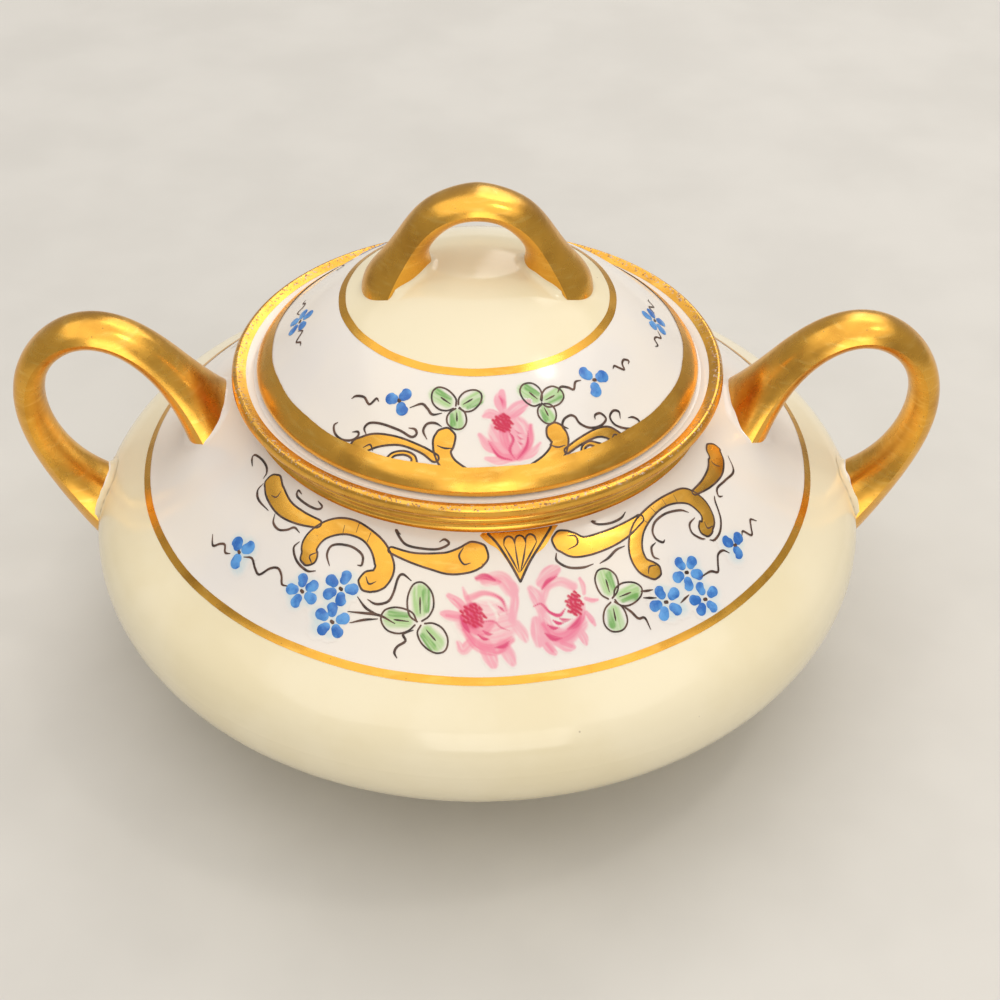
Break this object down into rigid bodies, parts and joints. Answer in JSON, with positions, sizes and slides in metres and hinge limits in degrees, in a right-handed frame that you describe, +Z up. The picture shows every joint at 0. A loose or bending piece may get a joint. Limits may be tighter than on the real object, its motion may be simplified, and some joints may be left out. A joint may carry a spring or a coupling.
{
  "type": "covered sugar bowl",
  "caption": "Squat porcelain sugar bowl with gilded loop handles, a recessed rim and a domed lift-off lid with a gilded loop handle, painted with roses and scrolls.",
  "frame": {"origin": "centre of the foot ring, on the table plane", "axes": "+Z up along the axis of the bowl, X through the two side handles, -Y towards the viewer of the painted front"},
  "size_m": [0.1608, 0.136, 0.0917],
  "materials": {
    "porcelain": "glossy hand-painted glaze",
    "foot_glaze": "glossy glaze",
    "gilding": "burnished gold over porcelain",
    "lid_porcelain": "glossy hand-painted glaze",
    "bisque": "matt unglazed rim",
    "lid_gilding": "burnished gold over porcelain"
  },
  "bodies": {
    "bowl": {"bowl_body": "porcelain", "foot_ring": "foot_glaze", "handle_left": "gilding", "handle_right": "gilding"},
    "lid": {"lid_shell": "lid_porcelain", "lid_flange": "bisque", "lid_handle": "lid_gilding"}
  },
  "joints": [
    {"name": "lid_lift", "type": "slide", "parent": "bowl", "child": "lid", "axis": [0, 0, 1], "range_m": [0, 0.06]}
  ]
}
